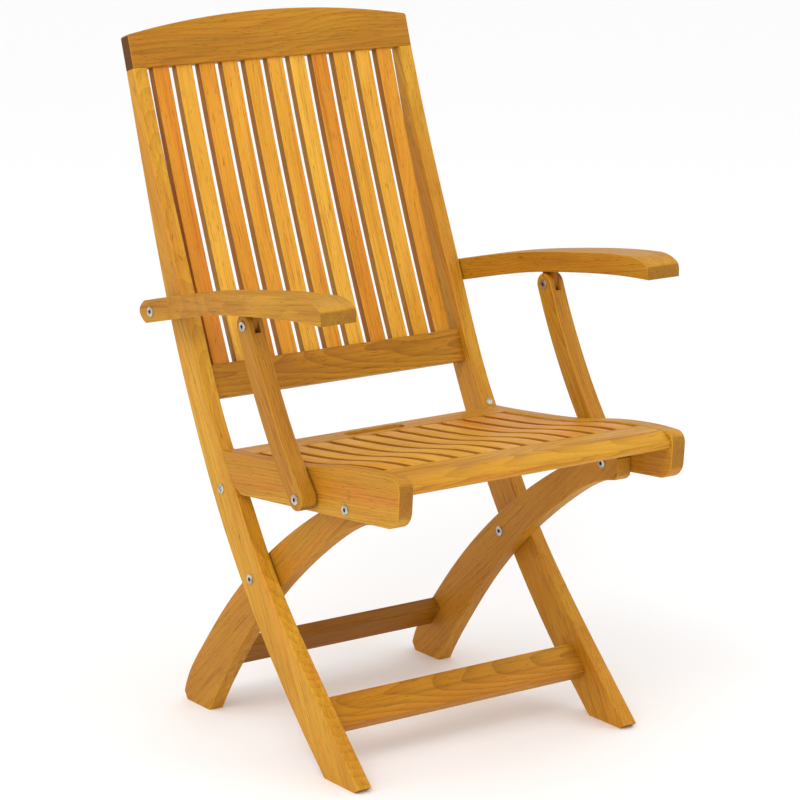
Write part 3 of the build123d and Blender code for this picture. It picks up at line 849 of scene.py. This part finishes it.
@dataclass
class Seat:
    """Side rails, cross boards, slats and hook plates of the seat."""

    rail_run: Point = (0.0, -0.99, 0.12)
    slat_run: Point = (0.0, -0.992, 0.126)
    top: Point = (0.0, 0.12, 0.99)
    slat_width: float = 0.027
    slat_thickness: float = 0.012
    slat_round: float = 0.0017

    def build(self) -> None:
        """Dress the boards and the metal, and build the slats."""
        dress_board(Board("side_rail_right", self.rail_run, SIDEWAYS, Cut.FLAT, 0.92, 8.4),
                    GOLDEN)
        dress_board(Board("side_rail_left", self.rail_run, SIDEWAYS, Cut.QUARTER, 0.93, 2.9),
                    GOLDEN)
        dress_board(Board("seat_rear_board", SIDEWAYS, self.top, Cut.FLAT, 1.0, 6.1), GOLDEN)
        dress_board(Board("seat_front_rail", SIDEWAYS, self.top, Cut.CATHEDRAL, 1.04, 1.7),
                    GOLDEN)
        slat = Board("seat_slats", self.slat_run, self.top, Cut.QUARTER, 1.02, 10.3)
        SlatRow("seat_slats", "seat", "seat_slat_", slat, self.slat_width,
                self.slat_thickness, self.slat_round, seed=31, line_points=13).build()
        for node in ("leg_top_bolts", "leg_top_nuts"):
            assign(node, STEEL.dress(node, socket=True), STEEL.slot)
        for node in ("seat_hook_right", "seat_hook_left", "seat_hook_screws"):
            assign(node, STEEL.dress(node), STEEL.slot)


@dataclass
class ArmSide:
    """One arm with its tab, pivots and forked support."""

    side: str
    seed: float
    cut: Cut
    run: Point = (0.0, -0.985, 0.17)
    top: Point = (0.0, 0.17, 0.985)
    support_run: Point = (0.0, 0.507, 0.862)
    tab_run: Point = (0.0, 0.0, 1.0)

    def build(self) -> None:
        """Dress the arm, its support, its tab and its bolts."""
        dress_board(Board(f"arm_{self.side}", self.run, self.top, self.cut, 0.84, self.seed),
                    GOLDEN)
        dress_board(Board(f"arm_support_{self.side}", self.support_run, SIDEWAYS,
                          Cut.CATHEDRAL, 0.8, self.seed + 2.3), GOLDEN)
        dress_board(Board(f"arm_tab_{self.side}", self.tab_run, SIDEWAYS, Cut.FLAT,
                          0.7, self.seed + 5.9), BROWN)
        for stem in ("arm_rear_bolt", "arm_rear_nut", "arm_front_bolt", "arm_front_nut",
                     "support_foot_bolt"):
            node = f"{stem}_{self.side}"
            assign(node, STEEL.dress(node, socket=True), STEEL.slot)


@dataclass
class Studio:
    """Pale floor, soft lights and the view of the chair."""

    floor_half: float = 30.0
    floor_colour: Colour = (0.97, 0.97, 0.97)
    floor_roughness: float = 0.9
    sky: float = 1.0
    middle: Point = (0.0, 0.0, 0.45)

    def floor(self) -> None:
        """Lay the pale floor under the chair."""
        mesh = bpy.data.meshes.new("floor")
        reach = self.floor_half
        mesh.from_pydata([(-reach, -reach, 0), (reach, -reach, 0), (reach, reach, 0),
                          (-reach, reach, 0)], [], [(0, 1, 2, 3)])
        piece = bpy.data.objects.new("floor", mesh)
        bpy.context.scene.collection.objects.link(piece)
        shader = Shader("floor_paper")
        shader.surface.inputs["Base Color"].default_value = opaque(self.floor_colour)
        shader.surface.inputs["Roughness"].default_value = self.floor_roughness
        mesh.materials.append(shader.material)

    def lamp(self, name: str, place: Point, aim: Point, size: float, power: float) -> None:
        """Hang one soft square lamp that points at a place.

        Args:
            name: The lamp's name.
            place: Where it hangs.
            aim: What it points at.
            size: Side of the square.
            power: Light power in watts.
        """
        light = bpy.data.lights.new(name, "AREA")
        light.size = size
        light.energy = power
        lamp = bpy.data.objects.new(name, light)
        lamp.location = place
        lamp.rotation_euler = (Vector(aim) - Vector(place)).to_track_quat("-Z", "Y").to_euler()
        bpy.context.scene.collection.objects.link(lamp)

    def build(self) -> None:
        """Set up the floor, the sky and the lamps."""
        self.floor()
        world = bpy.data.worlds.new("studio")
        world.use_nodes = True
        sky = world.node_tree.nodes["Background"]
        sky.inputs["Color"].default_value = opaque((1.0, 1.0, 1.0))
        sky.inputs["Strength"].default_value = self.sky
        bpy.context.scene.world = world
        self.lamp("key", (-2.6, -1.6, 3.2), self.middle, size=1.6, power=46.0)
        self.lamp("fill", (2.6, -2.6, 2.0), self.middle, size=2.4, power=12.0)
        bpy.context.scene.view_settings.view_transform = "Standard"
        LOG.info("studio lit")


@dataclass
class View:
    """The camera: where it stands and how it is turned."""

    place: Point = (-2.6374, -3.6746, 1.5510)
    azimuth: float = -35.738
    elevation: float = 13.419
    roll: float = 0.324
    lens: float = 145.16
    sensor: float = 36.0

    def build(self) -> None:
        """Place the camera and make it the scene's own."""
        camera = bpy.data.cameras.new("view")
        camera.lens = self.lens
        camera.sensor_width = self.sensor
        stand = bpy.data.objects.new("view", camera)
        level = Euler((radians(90 - self.elevation), 0, radians(self.azimuth))).to_matrix()
        turned = level @ Matrix.Rotation(radians(self.roll), 3, "Z")
        stand.matrix_world = Matrix.Translation(self.place) @ turned.to_4x4()
        bpy.context.scene.collection.objects.link(stand)
        bpy.context.scene.camera = stand
        LOG.info("camera placed")


def main() -> None:
    """Build the view, the studio and each sub-assembly."""
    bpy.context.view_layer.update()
    View().build()
    Studio().build()
    BackFrame().build()
    LegFrame().build()
    Seat().build()
    ArmSide("right", 12.8, Cut.FLAT).build()
    ArmSide("left", 17.1, Cut.QUARTER).build()
    LOG.info("sizes noted")


if __name__ == "__main__":
    main()
